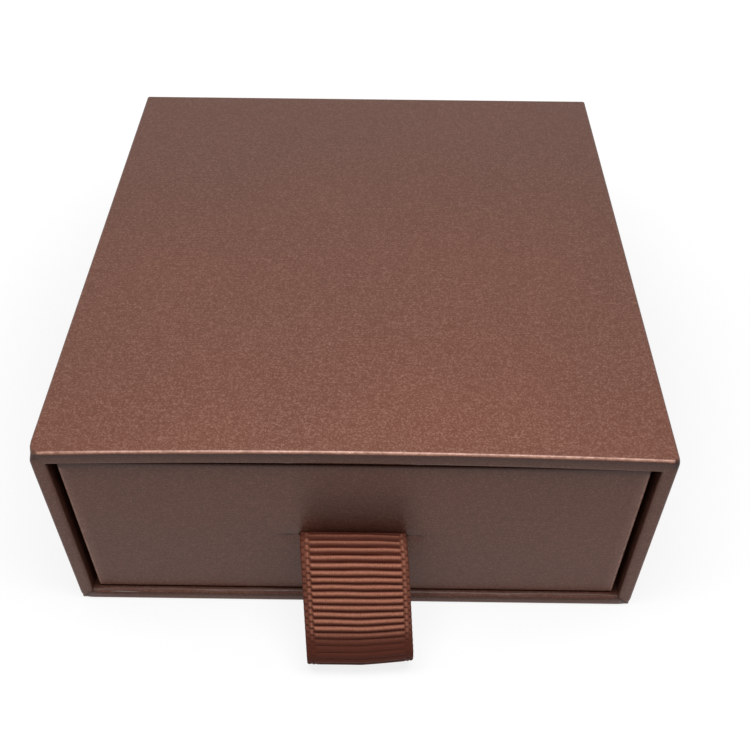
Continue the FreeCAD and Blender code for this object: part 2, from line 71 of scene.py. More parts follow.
# Camera: held before the mouth and looking down on the box at 45 degrees. Its place, its turn and
# its lens were fitted to the box's corners in the photo.
bearing, dip, tilt = math.radians(-0.312), math.radians(45.517), math.radians(-0.502)
focal_length, picture_width = 953.178, 750  # both in points of the picture
looking = Vector((math.sin(bearing) * math.cos(dip), math.cos(bearing) * math.cos(dip), -math.sin(dip)))
camera = bpy.data.objects.new("camera", bpy.data.cameras.new("camera"))
camera.rotation_mode = "QUATERNION"
camera.rotation_quaternion = looking.to_track_quat("-Z", "Y") @ Quaternion((0, 0, 1), -tilt)
camera.location = (3.339 * mm, -130.858 * mm, 138.166 * mm)
camera.data.sensor_width = 36
camera.data.lens = focal_length * camera.data.sensor_width / picture_width
camera.data.clip_start = 5 * mm
bpy.context.scene.collection.objects.link(camera)
bpy.context.scene.camera = camera
bpy.context.scene.view_settings.view_transform = "Standard"


# Light: a soft studio. The world is white where it is looked at or mirrored, and dimmer where it
# only lights the box. A wide lamp hangs over the mouth, and a dark card behind the camera is
# mirrored in the box's rounded front edges.
def add_node(tree, kind, inputs=None, **settings):
    """A node with its settings, its inputs given as values or as sockets to link."""
    node = tree.nodes.new(kind)
    for key, value in settings.items():
        setattr(node, key, value)
    for key, value in (inputs or {}).items():
        if isinstance(value, bpy.types.NodeSocket):
            tree.links.new(value, node.inputs[key])
        else:
            node.inputs[key].default_value = value
    return node


def reckon(tree, operation, first, second=0.0, third=0.0):
    """The result of a Math node."""
    return add_node(tree, "ShaderNodeMath", {0: first, 1: second, 2: third}, operation=operation).outputs[0]


def looked_at(tree):
    """1 for a ray of the camera, or of a mirrored or seen-through view, and else 0."""
    path = add_node(tree, "ShaderNodeLightPath")
    either = reckon(tree, "MAXIMUM", path.outputs["Is Camera Ray"], path.outputs["Is Glossy Ray"])
    return reckon(tree, "MAXIMUM", either, path.outputs["Is Transmission Ray"])


seen_strength, lighting_strength = 1.0, 0.20
world = bpy.data.worlds.new("studio")
world.use_nodes = True
tree = world.node_tree
tree.nodes.clear()
strength = reckon(tree, "MULTIPLY_ADD", looked_at(tree), seen_strength - lighting_strength,
                  lighting_strength)
sky = add_node(tree, "ShaderNodeBackground", {"Color": (1, 1, 1, 1), "Strength": strength})
add_node(tree, "ShaderNodeOutputWorld", {"Surface": sky.outputs[0]})
bpy.context.scene.world = world


def hang_lamp(name, place, width, depth, watts):
    """A soft rectangular lamp that shines straight down."""
    lamp = bpy.data.objects.new(name, bpy.data.lights.new(name, "AREA"))
    lamp.data.shape = "RECTANGLE"
    lamp.data.size, lamp.data.size_y = width, depth
    lamp.data.energy = watts
    lamp.location = place
    lamp.visible_camera = False
    lamp.rotation_euler = Vector((0, 0, -1)).to_track_quat("-Z", "Y").to_euler()
    bpy.context.scene.collection.objects.link(lamp)


hang_lamp("overhead_lamp", (10 * mm, -55 * mm, 208 * mm), 220 * mm, 85 * mm, watts=0.25)
hang_lamp("mouth_lamp", (0, -62 * mm, 105 * mm), 100 * mm, 20 * mm, watts=0.024)
behind_camera = 20 * mm
bpy.ops.object.select_all(action="DESELECT")
bpy.ops.mesh.primitive_plane_add(size=1, location=camera.location - looking * behind_camera)
card = bpy.context.object
card.name = "dark_card"
card.scale = (160 * mm, 110 * mm, 1)
card.rotation_euler = looking.to_track_quat("-Z", "Y").to_euler()
card.visible_camera = card.visible_diffuse = card.visible_shadow = card.visible_transmission = False
black = bpy.data.materials.new("black_card")
black.use_nodes = True
black.node_tree.nodes["Principled BSDF"].inputs["Base Color"].default_value = (0.01, 0.01, 0.01, 1)
card.data.materials.append(black)


# Floor: a plain pale table top that looks white and keeps the box's shadow. It throws a little less
# light back at the box than white would.
def blend_colour(tree, share, low, high):
    """A colour between two."""
    return add_node(tree, "ShaderNodeMix", {0: share, 6: low, 7: high}, data_type="RGBA").outputs[2]


lighting_colour = (0.605, 0.588, 0.583, 1)
glow_share, near_glow, far_glow = 0.8, 1.04, 1.4
glow_from, glow_to = 60 * mm, 200 * mm
bpy.ops.object.select_all(action="DESELECT")
bpy.ops.mesh.primitive_plane_add(size=4, location=(0, 0, 0))
floor = bpy.context.object
floor.name = "floor"
table_top = bpy.data.materials.new("pale_table")
table_top.use_nodes = True
tree = table_top.node_tree
tree.nodes.clear()
shown = looked_at(tree)
table_colour = blend_colour(tree, shown, lighting_colour, (1, 1, 1, 1))
matt = add_node(tree, "ShaderNodeBsdfDiffuse", {"Color": table_colour})
place = add_node(tree, "ShaderNodeTexCoord").outputs["Object"]
away = add_node(tree, "ShaderNodeVectorMath", {0: place}, operation="LENGTH").outputs["Value"]
farther = add_node(tree, "ShaderNodeMapRange",
                   {0: away, 1: glow_from, 2: glow_to, 3: near_glow, 4: far_glow})
glow = add_node(tree, "ShaderNodeEmission", {"Color": (1, 1, 1, 1), "Strength": farther.outputs[0]})
share = reckon(tree, "MULTIPLY", shown, glow_share)
both = add_node(tree, "ShaderNodeMixShader", {0: share, 1: matt.outputs[0], 2: glow.outputs[0]})
add_node(tree, "ShaderNodeOutputMaterial", {"Surface": both.outputs[0]})
floor.data.materials.append(table_top)


# Sleeve cover: one sheet of pearly copper-brown paper with a fine linen emboss, drawn over the roof
# and both sides of the board sleeve and glued. It is turned in at the mouth and over the back,
# and its ends are mitred at the lower corners. The roof hangs a little at its two front corners.
def new_group(name, inputs, outputs):
    """An empty shader node group and its two end nodes."""
    group = bpy.data.node_groups.new(name, "ShaderNodeTree")
    for label, value in inputs:
        socket = group.interface.new_socket(name=label, in_out="INPUT", socket_type="NodeSocketFloat")
        socket.default_value = value
    for label in outputs:
        group.interface.new_socket(name=label, in_out="OUTPUT", socket_type="NodeSocketFloat")
    return group, group.nodes.new("NodeGroupInput"), group.nodes.new("NodeGroupOutput")


def noise(tree, place, scale, detail):
    """An uneven pattern between 0 and 1."""
    node = add_node(tree, "ShaderNodeTexNoise", {"Vector": place, "Scale": scale, "Detail": detail})
    return node.outputs[0]


# Linen emboss: fine ridges along and across the sheet, a little uneven, and broken threads
squarely = 0.7
row_relief, thread_relief, level_ground = 0.34, 0.14, 0.5
dashes_across, dashes_down = 380, 2600
linen, given, result = new_group("linen_emboss", [("Pitch", 0.45 * mm)], ["Height", "Thread"])
place = add_node(linen, "ShaderNodeTexCoord")
at = add_node(linen, "ShaderNodeSeparateXYZ", {0: place.outputs["Object"]}).outputs
facing = add_node(linen, "ShaderNodeSeparateXYZ", {0: place.outputs["Normal"]}).outputs
on_front = reckon(linen, "GREATER_THAN", reckon(linen, "ABSOLUTE", facing[1]), squarely)
on_side = reckon(linen, "GREATER_THAN", reckon(linen, "ABSOLUTE", facing[0]), squarely)
down = reckon(linen, "MULTIPLY_ADD", reckon(linen, "SUBTRACT", at[2], at[1]), on_front, at[1])
across = reckon(linen, "MULTIPLY_ADD", reckon(linen, "SUBTRACT", at[2], at[0]), on_side, at[0])
wander = reckon(linen, "MULTIPLY", noise(linen, place.outputs["Object"], 420, 1), 5.0)
turns = reckon(linen, "DIVIDE", 2 * math.pi, given.outputs["Pitch"])
fewer_turns = reckon(linen, "MULTIPLY", turns, 0.8)
rows = reckon(linen, "SINE", reckon(linen, "MULTIPLY_ADD", down, turns, wander))
threads = reckon(linen, "SINE", reckon(linen, "MULTIPLY_ADD", across, fewer_turns, wander))
woven = reckon(linen, "MULTIPLY_ADD", rows, row_relief, reckon(linen, "MULTIPLY", threads, thread_relief))
linen.links.new(reckon(linen, "ADD", woven, level_ground), result.inputs["Height"])
dash_across = reckon(linen, "MULTIPLY", across, dashes_across)
dash_down = reckon(linen, "MULTIPLY", down, dashes_down)
dash = add_node(linen, "ShaderNodeCombineXYZ", {0: dash_across, 1: dash_down}).outputs[0]
linen.links.new(noise(linen, dash, 1, 1), result.inputs["Thread"])

# Pearl flecks: mica grains that catch the light one by one, and broad clouds in the coating
flecks, given, result = new_group("pearl_flecks", [("Grains", 5200), ("Clouds", 30)], ["Fleck", "Cloud"])
place = add_node(flecks, "ShaderNodeTexCoord").outputs["Object"]
grain = add_node(flecks, "ShaderNodeTexVoronoi", {"Vector": place, "Scale": given.outputs["Grains"]})
one = add_node(flecks, "ShaderNodeSeparateColor", {0: grain.outputs["Color"]}).outputs[0]
flecks.links.new(one, result.inputs["Fleck"])
flecks.links.new(noise(flecks, place, given.outputs["Clouds"], 2), result.inputs["Cloud"])


def use_group(tree, group):
    """The outputs of a group placed in a material."""
    node = tree.nodes.new("ShaderNodeGroup")
    node.node_tree = group
    return node.outputs


def start_look(name, **constants):
    """A material with one Principled shader, its even values set on its own sockets."""
    look = bpy.data.materials.new(name)
    look.use_nodes = True
    shader = look.node_tree.nodes["Principled BSDF"]
    for label, value in constants.items():
        shader.inputs[label.replace("_", " ")].default_value = value
    return look, look.node_tree, shader


def marked(tree, name):
    """A value kept at the mesh's points."""
    return add_node(tree, "ShaderNodeAttribute", attribute_name=name).outputs["Fac"]


def add_bump(tree, shader, strength, distance, height):
    """Fine relief under a shader."""
    bump = add_node(tree, "ShaderNodeBump", {"Strength": strength, "Distance": distance, "Height": height})
    tree.links.new(bump.outputs[0], shader.inputs["Normal"])


def pearl_paper(name, deep, warm, pearl, dull=0.40):
    """Pearl paper from its deepest and warmest ground colours and the colour of its flecks."""
    shade, rub_and_highlight_colour = (0.030, 0.009, 0.007, 1), [min(1, 1.35 * part) for part in pearl]
    thread_share, fleck_share, fleck_gloss, fleck_relief = 0.14, 0.29, 0.12, 0.5
    look, tree, shader = start_look(name, Metallic=0.05, Specular_IOR_Level=0.3, Coat_Roughness=0.22)
    grain = use_group(tree, flecks)
    emboss = use_group(tree, linen)
    cloud = reckon(tree, "MULTIPLY_ADD", grain["Cloud"], 1.6, -0.3)
    ground = blend_colour(tree, cloud, deep, warm)
    thread = reckon(tree, "MULTIPLY_ADD", emboss["Thread"], thread_share, -thread_share / 2)
    fleck = reckon(tree, "MULTIPLY", reckon(tree, "POWER", grain["Fleck"], 2.5), fleck_share)
    bright = add_node(tree, "ShaderNodeClamp", {0: reckon(tree, "ADD", thread, fleck)}).outputs[0]
    speckled = blend_colour(tree, bright, ground, pearl)
    patchy = noise(tree, add_node(tree, "ShaderNodeTexCoord").outputs["Object"], 1200, 3)
    # Paler and glossier where the points are marked: wear on edges, and a painted highlight along rounded
    # edges that turn towards the lamp
    rub_and_highlight = reckon(tree, "MULTIPLY", marked(tree, "wear_and_highlight"), reckon(tree, "MULTIPLY_ADD", patchy, 1.5, -0.09))
    rub_and_highlight = reckon(tree, "MAXIMUM", rub_and_highlight, 0.0)
    paler_edges = blend_colour(tree, rub_and_highlight, speckled, rub_and_highlight_colour)
    # Darkened where the points are marked: dark joints at the mitres and the slit, and painted shade in
    # corners, recesses and under edges
    tree.links.new(blend_colour(tree, marked(tree, "joint_and_shade"), paler_edges, shade), shader.inputs["Base Color"])
    tree.links.new(reckon(tree, "MULTIPLY", rub_and_highlight, 0.6), shader.inputs["Coat Weight"])
    satin = reckon(tree, "MULTIPLY_ADD", grain["Fleck"], fleck_gloss, dull - fleck_gloss / 2)
    tree.links.new(satin, shader.inputs["Roughness"])
    height = reckon(tree, "MULTIPLY_ADD", grain["Fleck"], fleck_relief, emboss["Height"])
    add_bump(tree, shader, 0.5, 0.02 * mm, height)
    return look


cover_paper = pearl_paper("covering_paper", deep=(0.124, 0.044, 0.026, 1), warm=(0.150, 0.048, 0.026, 1),
                          pearl=(0.50, 0.28, 0.212, 1))


def start_block(name, low, high):
    """A block between two corners, its place in its mesh, in edit mode."""
    bpy.ops.object.select_all(action="DESELECT")
    bpy.ops.mesh.primitive_cube_add(size=1, location=(low + high) / 2, scale=high - low)
    bpy.ops.object.transform_apply(location=True, rotation=True, scale=True)
    block = bpy.context.object
    block.name = block.data.name = name
    bpy.ops.object.mode_set(mode="EDIT")
    return block


def choose_faces(piece, test):
    """Selects the faces whose middle and normal the test accepts, and nothing else."""
    bpy.ops.mesh.select_mode(type="FACE")
    bpy.ops.mesh.select_all(action="DESELECT")
    mesh = bmesh.from_edit_mesh(piece.data)
    for face in mesh.faces:
        if test(face.calc_center_median(), face.normal):
            face.select_set(True)
    bmesh.update_edit_mesh(piece.data)


def choose_edges(piece, test):
    """Selects the edges whose two ends the test accepts, and nothing else."""
    bpy.ops.mesh.select_mode(type="EDGE")
    bpy.ops.mesh.select_all(action="DESELECT")
    mesh = bmesh.from_edit_mesh(piece.data)
    for edge in mesh.edges:
        if test(edge.verts[0].co, edge.verts[1].co):
            edge.select_set(True)
    bmesh.update_edit_mesh(piece.data)


def cut_across(axis, places):
    """Cuts the whole mesh with planes square to an axis."""
    square = [0.0, 0.0, 0.0]
    square[axis] = 1.0
    for place in places:
        bpy.ops.mesh.select_all(action="SELECT")
        bpy.ops.mesh.bisect(plane_co=[place * part for part in square], plane_no=square)


def steps(first, last, count):
    """Places at even distances."""
    return [first + (last - first) * i / (count - 1) for i in range(count)]


def ramp(along, places, shares):
    """A share that changes along a distance, between places in millimetres."""
    return np.interp(along, [place * mm for place in places], shares)


def points_of(piece):
    """The points of a piece as an array."""
    flat = np.empty(len(piece.data.vertices) * 3)
    piece.data.vertices.foreach_get("co", flat)
    return flat.reshape(-1, 3)


def set_points(piece, points):
    """Moves the points of a piece."""
    piece.data.vertices.foreach_set("co", np.asarray(points).ravel())
    piece.data.update()


def give_thickness(piece, thickness, offset=-1):
    """Thickens a sheet away from its outer face, or with offset 0 to both sides."""
    layer = piece.modifiers.new("thickness", "SOLIDIFY")
    layer.thickness = thickness
    layer.offset = offset
    layer.use_even_offset = True
    bpy.context.view_layer.objects.active = piece
    bpy.ops.object.modifier_apply(modifier=layer.name)


def mark_points(piece, name, values):
    """Keeps a value for each point of a piece."""
    mark = piece.data.attributes.new(name, "FLOAT", "POINT")
    mark.data.foreach_set("value", np.asarray(values).astype(np.float32))


def dress(piece, look, slot, body, *stands_for, smooth=35):
    """Gives a finished piece its material and its place in the model."""
    bpy.ops.object.select_all(action="DESELECT")
    piece.select_set(True)
    bpy.context.view_layer.objects.active = piece
    if smooth:
        bpy.ops.object.shade_smooth_by_angle(angle=math.radians(smooth))
    piece.data.materials.clear()
    piece.data.materials.append(look)
    if body:
        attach(piece, body)
    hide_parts(*stands_for)


def waver(along, *phases):
    """An uneven wave between about -1 and 1 along a paper edge."""
    lengths = (23.0, 9.5, 4.7)
    shares = (0.5, 0.3, 0.2)
    return sum(s * np.sin(2 * math.pi * along / (l * mm) + p) for s, l, p in zip(shares, lengths, phases))


sleeve_low, sleeve_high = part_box("sleeve_wrap")
mouth_low, mouth_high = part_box("sleeve_lining")
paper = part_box("sleeve_bottom_board")[0].z - sleeve_low.z
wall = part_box("sleeve_bottom_board")[1].z + paper
mouth, back, top, half_width = sleeve_low.y, sleeve_high.y, sleeve_high.z, sleeve_high.x
back_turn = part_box("sleeve_base_paper")[1].z
corner_hang = 1.0 * mm
firm_height, giving_height = 12 * mm, 23 * mm
edge_round = 0.42 * mm
mitre_band = 0.22 * mm


def hang_roof(points):
    """Lets the front corners of the roof down, most at the mouth and nothing at the back. The walls
    are firm near the foot and give way above."""
    share = np.clip((points[:, 2] - firm_height) / giving_height, 0, 1)
    toward_mouth = np.clip((back - points[:, 1]) / (back - mouth), 0, 1)
    points[:, 2] -= corner_hang * (points[:, 0] / half_width) ** 2 * toward_mouth * share
    return points


def meet(one, two):
    """Whether two places along an axis are the same."""
    return abs(one - two) < 0.01 * mm


def rounded_edge(one, two):
    """Whether an edge of the cover is rounded: round the mouth, round the back or along the sides."""
    middle = (one + two) / 2
    at_mouth = meet(middle.y, mouth) and (meet(one.x, two.x) or meet(one.z, two.z))
    outermost = meet(abs(middle.x), half_width) or meet(middle.z, top) or meet(middle.z, 0)
    at_side = abs(one.y - two.y) > 80 * mm
    return at_mouth or (meet(middle.y, back) and outermost) or at_side


sleeve_cover = start_block("sleeve_cover", sleeve_low, sleeve_high)
choose_faces(sleeve_cover, lambda middle, normal: normal.y < -0.9)
bpy.ops.mesh.inset(thickness=wall)
bpy.ops.mesh.extrude_region_move(TRANSFORM_OT_translate={"value": (0, mouth_low.y - mouth, 0)})
bpy.ops.mesh.delete(type="FACE")
choose_faces(sleeve_cover, lambda middle, normal: normal.y > 0.9)
bpy.ops.mesh.inset(thickness=back_turn)
bpy.ops.mesh.delete(type="FACE")
choose_edges(sleeve_cover, rounded_edge)
bpy.ops.mesh.bevel(offset=edge_round, offset_type="OFFSET", segments=6, profile=0.5, affect="EDGES")
cut_across(0, steps(-44 * mm, 44 * mm, 89) + [-44.3 * mm, -43.6 * mm, 44.3 * mm])
behind_mouth = [mouth + y * mm for y in (0.6, 0.8, 0.95, 1.2, 1.6)]
cut_across(1, steps(-45 * mm, 45 * mm, 19) + behind_mouth + [back - 0.6 * mm])
above_foot = [z * mm for z in (0.8, 1.21, 1.46, 1.66, 2.4)]
under_top = [top - z * mm for z in (0.6, 0.85, 1.05, 1.4, 1.7)]
cut_across(2, steps(4 * mm, 34 * mm, 7) + above_foot + under_top)
for side in (-1, 1):
    for beside in (-mitre_band, mitre_band):
        choose_faces(sleeve_cover, lambda middle, normal: middle.y < mouth + 0.5 * mm
                     and middle.z < 2.4 * mm and side * middle.x > half_width - 2.4 * mm)
        bpy.ops.mesh.bisect(plane_co=(side * (half_width + beside), 0, 0), plane_no=(side, 0, 1))

# The base cover is parted from the sleeve cover along the mitres
seam_depth = back_turn + 0.5 * mm
seam_gap = 0.02 * mm
choose_faces(sleeve_cover, lambda middle, normal:
             middle.z < min(seam_depth, half_width - abs(middle.x) - seam_gap))
before = set(bpy.data.objects)
bpy.ops.mesh.separate(type="SELECTED")
bpy.ops.object.mode_set(mode="OBJECT")
sleeve_base_cover = (set(bpy.data.objects) - before).pop()
sleeve_base_cover.name = sleeve_base_cover.data.name = "sleeve_base_cover"


def paler_edges(piece, radius, *lines):
    """How much rubbing pales each point of a rounded edge. A line gives two axes and the places on
    them of an edge that runs along the third; left and right count alike."""
    points = points_of(piece)
    points[:, 0] = np.abs(points[:, 0])
    wear_and_highlight = np.zeros(len(points))
    for one, first, two, second in lines:
        away = np.hypot(points[:, one] - first, points[:, two] - second)
        wear_and_highlight = np.maximum(wear_and_highlight, np.clip((radius - away) / (0.585 * radius), 0, 1))
    return wear_and_highlight


def from_mouth(points, level):
    """How far each point is below a level, behind the mouth's face and inside the box's side."""
    return level - points[:, 2], points[:, 1] - mouth, half_width - np.abs(points[:, 0])


def turned_up(rounding, depth, into):
    """Which way a point of a rounded front edge faces: 0 degrees forward, 90 degrees upward."""
    return np.degrees(np.arctan2(np.maximum(rounding - depth, 0), np.maximum(rounding - into, 0.0001 * mm)))


def mitre_joint_and_shade(beside, height):
    """The dark joint along a mitre at a lower corner of the mouth, and painted shade at the corner's tip.
    """
    joint = ramp(np.abs(beside - height), (0.04, 0.24, 0.5), (0.95, 0.45, 0)) * (height < 2.3 * mm)
    tip = 0.75 * np.clip(1 - np.hypot(beside, height) / (1.4 * mm), 0, 1)
    return np.maximum(joint, tip)


def soften_corner(points, corner, reach, depth):
    """Presses a corner of the box in, as handling does."""
    away = np.linalg.norm(points - np.array(corner), axis=1)
    press = depth * np.clip(1 - away / reach, 0, 1) ** 2
    inward = np.array([-np.sign(corner[0]), 0.6, -0.7 if corner[2] > 0 else 0.7])
    return points + press[:, None] * inward


def hang_and_soften(points):
    """The sleeve's soft corners at the mouth, the upper left one pressed in most, and its hanging roof."""
    points = soften_corner(points, (-half_width, mouth, top), 2.4 * mm, 0.7 * mm)
    points = soften_corner(points, (half_width, mouth, top), 1.2 * mm, 0.2 * mm)
    points = soften_corner(points, (-half_width, mouth, 0), 1.8 * mm, 0.35 * mm)
    points = soften_corner(points, (half_width, mouth, 0), 1.8 * mm, 0.35 * mm)
    return hang_roof(points)


points = points_of(sleeve_cover)
depth, into, beside = from_mouth(points, top)
on_mouth = into < 0.3 * mm

# Where the cover is paler: wear on the back edges, and a painted highlight along the front edge,
# where it turns up towards the lamp
front_highlight = np.interp(turned_up(edge_round, depth, into), [25, 50, 65, 80, 90], [0, 0.8, 1, 0.8, 0])
front_highlight *= ramp(points[:, 0], (-44, -43.6, 44, 44.3), (0, 1, 1, 0))
back_rub = paler_edges(sleeve_cover, edge_round, (1, back, 2, top), (0, half_width, 1, back))
mark_points(sleeve_cover, "wear_and_highlight", np.maximum(front_highlight, 0.3 * back_rub))

# Where it is dark: the mitres' joints, and painted shade at the two pressed-in upper front corners,
# along the roof's side edges, in a band under the front edge, on the turned-in paper inside the mouth
# and on the walls' inner edges
left_corner_shade = on_mouth * ramp(points[:, 0], (-44, -43.6), (0.8, 0))
left_corner_shade *= ramp(depth, (0.1, 0.25, 1.05, 1.4), (0.3, 1, 1, 0))
right_corner_shade = (into < 0.55 * mm) * ramp(points[:, 0], (44, 44.3), (0, 0.92))
right_corner_shade *= ramp(depth, (0, 0.15, 1.05, 1.7), (0.7, 1, 1, 0))
side_edge_shade = 0.35 * ramp(beside, (0.1, 0.3), (1, 0)) * (depth < edge_round)
under_edge_shade = on_mouth * ramp(depth, (0.21, 0.31, 0.6, 1.05, 1.7, 2.0), (0, 0.62, 0.70, 0.50, 0.20, 0.05))
in_opening = (np.abs(points[:, 0]) < mouth_high.x + 0.5 * mm) & (points[:, 2] > wall)
inside = in_opening * (depth > wall - 0.3 * mm) * ramp(into, (0.06, 0.42), (0, 0.72))
beside_mouth = on_mouth & (points[:, 2] > wall - 0.1 * mm) & (depth > wall - 0.1 * mm)
inner_edge_shade = beside_mouth * np.interp(beside, [1.4 * mm, 2.0 * mm, wall], [0, 0.28, 0.5])
mitres = on_mouth * mitre_joint_and_shade(beside, points[:, 2])
dark = [mitres, left_corner_shade, right_corner_shade, side_edge_shade, under_edge_shade, inside, inner_edge_shade]
mark_points(sleeve_cover, "joint_and_shade", np.maximum.reduce(dark))

# Its shape: a wavy upper edge, raised mitres and a roof that sags at the mouth
wave_height, mitre_lift, sag = 0.06 * mm, 0.08 * mm, 0.42 * mm
on_mitre = on_mouth & (np.abs(beside - points[:, 2]) < 0.04 * mm)
top_rim = np.clip(1 - np.abs(points[:, 1] - mouth) / (0.5 * mm), 0, 1) * (points[:, 2] > top - 0.6 * mm)
points[:, 2] -= top_rim * wave_height * (1 + waver(points[:, 0], 0.4, 1.9, 5.1))
points[:, 1] -= on_mitre * mitre_lift
sagging = np.interp(depth, [0.5 * mm, wall, wall + 2.5 * mm], [0, 1, 0])
points[:, 2] -= sagging * np.clip(1 - (into - 0.4 * mm) / (3 * mm), 0, 1) * sag
set_points(sleeve_cover, hang_and_soften(points))
give_thickness(sleeve_cover, paper)
dress(sleeve_cover, cover_paper, "covering_paper", "sleeve", "sleeve_wrap")

# Sleeve base cover: a second sheet of the same paper under the sleeve, turned up over the lower edge
# of the mouth and onto the floor inside. The turned edge is round and a little wavy, and its ends
# are dark where they meet the mitres of the first sheet.
lip_round = 0.95 * mm
points = points_of(sleeve_base_cover)
depth, into, beside = from_mouth(points, wall)
on_face = into < 0.5 * mm

# Where a highlight is painted on the lip's round edge, and where it is dark: the mitres' joints, and
# painted shade on the lip's face and on the floor inside the mouth
up_front = into < lip_round + 0.01 * mm
lip_highlight = up_front * np.interp(turned_up(lip_round, depth, into), [42, 58, 74, 86], [0, 0.14, 0.14, 0])
mark_points(sleeve_base_cover, "wear_and_highlight", lip_highlight)
lip_shade = up_front * ramp(points[:, 2], (0.3, 1.2, 1.7, 1.9, 2.05, 2.14),
                            (0, 0.38, 0.60, 0.42, 0.08, 0.5))
on_floor = (points[:, 2] > wall - 0.05 * mm) & (into > lip_round + 0.01 * mm)
mitres = on_face * mitre_joint_and_shade(beside, points[:, 2])
mark_points(sleeve_base_cover, "joint_and_shade", np.maximum.reduce([mitres, 0.6 * on_floor, lip_shade]))

# Its shape: the edge is pulled round between the mitres, waves a little and has one ridge at the left
from_centre = np.hypot(lip_round - into, lip_round - depth)
in_round = (into < lip_round) & (depth < lip_round) & (from_centre > lip_round)
between_mitres = np.clip((beside - 1.9 * mm) / (1.5 * mm), 0, 1)
pull = in_round * between_mitres * (1 - lip_round / np.maximum(from_centre, lip_round))
points[:, 1] += pull * (lip_round - into)
points[:, 2] -= pull * (lip_round - depth)
wave_up, wave_out, ridge_height = 0.14 * mm, 0.10 * mm, 0.12 * mm
on_edge = np.clip(1 - np.hypot(into - 0.3 * mm, depth - 0.3 * mm) / (1.1 * mm), 0, 1)
points[:, 2] += on_edge * wave_up * np.maximum(waver(points[:, 0], 2.2, 0.3, 3.3) + 0.3, -0.2)
points[:, 1] -= on_edge * wave_out * np.maximum(waver(points[:, 0], 1.2, 4.0, 0.6) + 0.3, -0.2)
ridge = np.exp(-((points[:, 0] + 40.8 * mm) / (1.1 * mm)) ** 2) * on_face
ridge *= np.exp(-((points[:, 2] - 1.7 * mm) / (0.35 * mm)) ** 2)
points[:, 1] -= ridge * ridge_height
set_points(sleeve_base_cover, hang_and_soften(points))
give_thickness(sleeve_base_cover, paper)
dress(sleeve_base_cover, cover_paper, "covering_paper", "sleeve", "sleeve_base_paper")


# Sleeve back sheet: the same paper laid over the turned edges at the closed back. It is the CAD
# solid, which has the right shape as it is.
def finish_nodes(look, *names):
    """Gives CAD solids their material."""
    for name in names:
        for place in nodes[name].material_slots:
            place.material = look


finish_nodes(cover_paper, "sleeve_back_paper")

# Sleeve lining: a duller sheet of the same kind of paper inside the sleeve, behind the turned-in
# mouth. Its roof hangs with the sleeve's roof.
lining_paper = pearl_paper("lining_paper", deep=(0.105, 0.040, 0.025, 1), warm=(0.130, 0.045, 0.026, 1),
                           pearl=(0.45, 0.25, 0.18, 1), dull=0.5)


def hung_copy(node, name, look, slot, pressed=0):
    """A copy of a CAD solid of the sleeve that follows the soft corners and the hanging roof. Its
    upper front edge can be pressed in."""
    copy = bpy.data.objects.new(name, nodes[node].data.copy())
    copy.data.name = name
    bpy.context.scene.collection.objects.link(copy)
    bpy.ops.object.select_all(action="DESELECT")
    copy.select_set(True)
    bpy.context.view_layer.objects.active = copy
    bpy.ops.object.mode_set(mode="EDIT")
    bpy.ops.mesh.select_all(action="SELECT")
    bpy.ops.mesh.remove_doubles(threshold=0.001 * mm)
    bpy.ops.mesh.tris_convert_to_quads()
    cut_across(0, steps(-40 * mm, 40 * mm, 11))
    cut_across(1, steps(-40 * mm, 40 * mm, 9))
    bpy.ops.object.mode_set(mode="OBJECT")
    points = points_of(copy)
    at_front = points[:, 1] < points[:, 1].min() + 0.01 * mm
    at_top = points[:, 2] > points[:, 2].max() - 0.01 * mm
    points[at_front & at_top] += (0, pressed, -pressed)
    set_points(copy, hang_and_soften(points))
    dress(copy, look, slot, "sleeve", node, smooth=0)


hung_copy("sleeve_lining", "sleeve_inner_paper", lining_paper, "lining_paper")

# Sleeve boards: five pieces of grey board, and kraft tape folded over the four long corners. The
# roof board, its tapes and the walls hang with the cover, and the floor board's front edge is
# pressed in under the round lip of the base cover.
grey_board, tree, shader = start_look("grey_board", Roughness=0.9)
fibres = noise(tree, add_node(tree, "ShaderNodeTexCoord").outputs["Object"], 900, 4)
board_colour = blend_colour(tree, fibres, (0.30, 0.285, 0.26, 1), (0.52, 0.50, 0.46, 1))
tree.links.new(board_colour, shader.inputs["Base Color"])
add_bump(tree, shader, 0.4, 0.05 * mm, fibres)
kraft_tape, tree, shader = start_look("kraft_tape", Roughness=0.7)
place = add_node(tree, "ShaderNodeTexCoord").outputs["Object"]
along = add_node(tree, "ShaderNodeMapping", {"Vector": place, "Scale": (900, 120, 900)}).outputs[0]
fibres = noise(tree, along, 1, 3)
tape_colour = blend_colour(tree, fibres, (0.40, 0.25, 0.13, 1), (0.60, 0.42, 0.25, 1))
tree.links.new(tape_colour, shader.inputs["Base Color"])
add_bump(tree, shader, 0.3, 0.03 * mm, fibres)
hung_copy("sleeve_top_board", "sleeve_roof_board", grey_board, "grey_board")
hung_copy("sleeve_top_left_tape", "sleeve_roof_left_tape", kraft_tape, "kraft_tape")
hung_copy("sleeve_top_right_tape", "sleeve_roof_right_tape", kraft_tape, "kraft_tape")
hung_copy("sleeve_left_board", "sleeve_left_wall_board", grey_board, "grey_board")
hung_copy("sleeve_right_board", "sleeve_right_wall_board", grey_board, "grey_board")
hung_copy("sleeve_bottom_board", "sleeve_floor_board", grey_board, "grey_board", pressed=0.28 * mm)
finish_nodes(grey_board, "sleeve_back_board")
finish_nodes(kraft_tape, "sleeve_bottom_left_tape", "sleeve_bottom_right_tape")

